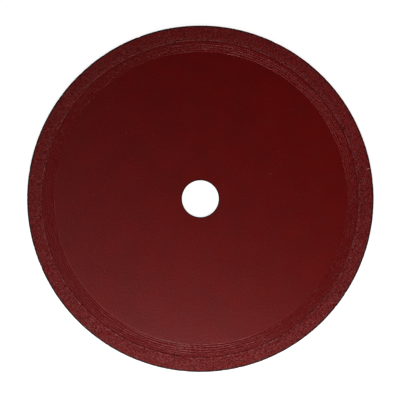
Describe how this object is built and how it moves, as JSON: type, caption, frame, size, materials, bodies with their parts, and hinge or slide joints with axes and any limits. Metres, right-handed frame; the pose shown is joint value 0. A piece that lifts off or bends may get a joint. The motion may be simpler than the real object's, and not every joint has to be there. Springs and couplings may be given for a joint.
{
  "type": "sintered diamond saw blade",
  "caption": "Thin circular saw blade with a painted steel core, a keyed-on continuous sintered diamond rim and a plain arbor bore, for wet-cutting stone.",
  "frame": {"origin": "centre of the arbor bore, halfway through the blade's thickness", "axes": "+Z along the bore's axis, out of the side that the picture shows; the blade lies flat, and +X and +Y are any two directions in its plane, with +Y towards the top of the picture"},
  "size_m": [0.15, 0.15, 0.001],
  "materials": {
    "core_paint": "satin dark maroon red paint on hardened steel, with fine turning lines showing through next to the rim",
    "rim_paint": "thin matt dark maroon red paint over gritty sintered metal and diamond"
  },
  "bodies": {
    "root": {"steel_core": "core_paint", "diamond_rim": "rim_paint"}
  },
  "joints": []
}
